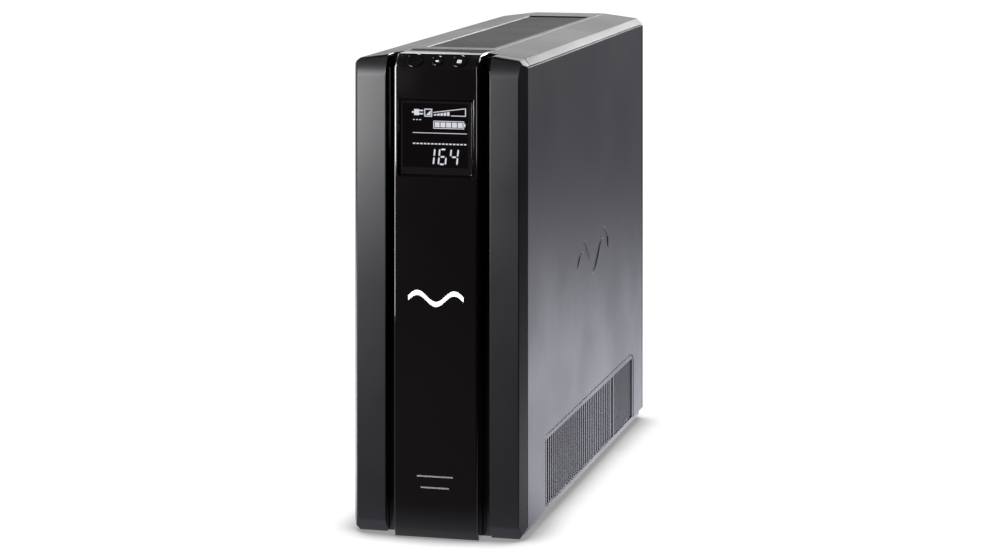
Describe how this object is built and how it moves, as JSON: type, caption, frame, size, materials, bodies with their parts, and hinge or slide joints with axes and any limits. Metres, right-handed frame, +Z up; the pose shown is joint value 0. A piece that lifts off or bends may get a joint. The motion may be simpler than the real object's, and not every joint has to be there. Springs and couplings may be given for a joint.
{
  "type": "uninterruptible power supply",
  "caption": "Tower uninterruptible power supply with glossy front panel, lit display, push buttons, side vents, rear outlets and a bottom battery door.",
  "frame": {"origin": "on the floor at the centre of the footprint", "axes": "+Z up, the front panel faces -Y, the outlets face +Y, +X is the viewer's right when looking at the front"},
  "size_m": [0.112, 0.382, 0.301],
  "materials": {
    "case_grey": "fine-grained moulded charcoal plastic",
    "matt_black": "satin moulded near-black plastic",
    "gloss_black": "polished piano black",
    "smoked_window": "smoked clear window",
    "lcd_glass": "negative display glass",
    "rubber": "matt",
    "circuit_board": "green solder mask",
    "switch_metal": "satin",
    "ribbon_plastic": "satin",
    "zinc_steel": "zinc plated",
    "socket_black": "satin black moulding",
    "contact_brass": "satin",
    "button_white": "semi gloss",
    "port_grey": "satin",
    "nickel": "nickel plated",
    "chassis_plastic": "satin",
    "battery_case": "moulded",
    "wire_insulation": "coloured insulation, one colour for each wire in the looks",
    "core_steel": "varnished laminations",
    "coil_copper": "enamelled winding under tape",
    "heatsink_aluminium": "extruded",
    "component_black": "epoxy",
    "capacitor_sleeve": "shrink sleeve",
    "relay_case": "moulded",
    "fuse_ceramic": "glazed tube"
  },
  "bodies": {
    "case": {"base_tray": "matt_black", "rubber_feet": "rubber", "left_side_panel": "case_grey", "right_side_panel": "case_grey", "left_vent_grille": "case_grey", "right_vent_grille": "case_grey", "top_cover": "case_grey", "spine_cover": "case_grey", "front_bezel": "matt_black", "front_panel": "gloss_black", "lcd_window": "smoked_window", "lcd_module": "lcd_glass", "key_board": "circuit_board", "key_switches": "switch_metal", "display_board": "circuit_board", "display_ribbon": "ribbon_plastic", "rear_panel": "matt_black", "panel_screws": "zinc_steel", "backup_outlets": "socket_black", "surge_outlets": "socket_black", "outlet_contacts": "contact_brass", "inlet_socket": "socket_black", "inlet_pins": "contact_brass", "breaker_body": "socket_black", "breaker_nut": "zinc_steel", "battery_port": "port_grey", "network_jacks": "socket_black", "data_port": "socket_black", "jack_contacts": "contact_brass", "coax_connectors": "nickel", "ground_screw": "zinc_steel", "fan_frame": "socket_black", "fan_guard": "nickel", "fan_screws": "zinc_steel", "inner_chassis": "chassis_plastic", "battery_blocks": "battery_case", "battery_terminals": "contact_brass", "battery_links": "wire_insulation", "battery_leads": "wire_insulation", "transformer_core": "core_steel", "transformer_coil": "coil_copper", "transformer_bracket": "zinc_steel", "transformer_screws": "zinc_steel", "main_board": "circuit_board", "board_screws": "zinc_steel", "heatsinks": "heatsink_aluminium", "power_transistors": "component_black", "capacitors": "capacitor_sleeve", "relays": "relay_case", "filter_choke": "coil_copper", "board_fuse": "fuse_ceramic", "buzzer": "component_black", "wiring_harness": "wire_insulation"},
    "power_button": {"power_button": "gloss_black"},
    "mute_button": {"mute_button": "gloss_black"},
    "display_button": {"display_button": "gloss_black"},
    "breaker_reset": {"breaker_button": "button_white"},
    "fan_rotor": {"fan_rotor": "socket_black"},
    "battery_door": {"battery_door": "matt_black"}
  },
  "joints": [
    {"name": "power_button_press", "type": "slide", "parent": "case", "child": "power_button", "axis": [0, 0.6735, -0.7392], "range_m": [0, 0.0008], "stiffness_N_per_m": 150},
    {"name": "mute_button_press", "type": "slide", "parent": "case", "child": "mute_button", "axis": [0, 0.6735, -0.7392], "range_m": [0, 0.0008], "stiffness_N_per_m": 150},
    {"name": "display_button_press", "type": "slide", "parent": "case", "child": "display_button", "axis": [0, 0.6735, -0.7392], "range_m": [0, 0.0008], "stiffness_N_per_m": 150},
    {"name": "breaker_reset_slide", "type": "slide", "parent": "case", "child": "breaker_reset", "axis": [0, 1, 0], "range_m": [0, 0.003]},
    {"name": "fan_spin", "type": "hinge", "parent": "case", "child": "fan_rotor", "pos_m": [0, 0.173, 0.048], "axis": [0, 1, 0], "continuous": true},
    {"name": "battery_door_slide", "type": "slide", "parent": "case", "child": "battery_door", "axis": [0, 1, 0], "range_m": [0, 0.012]}
  ]
}
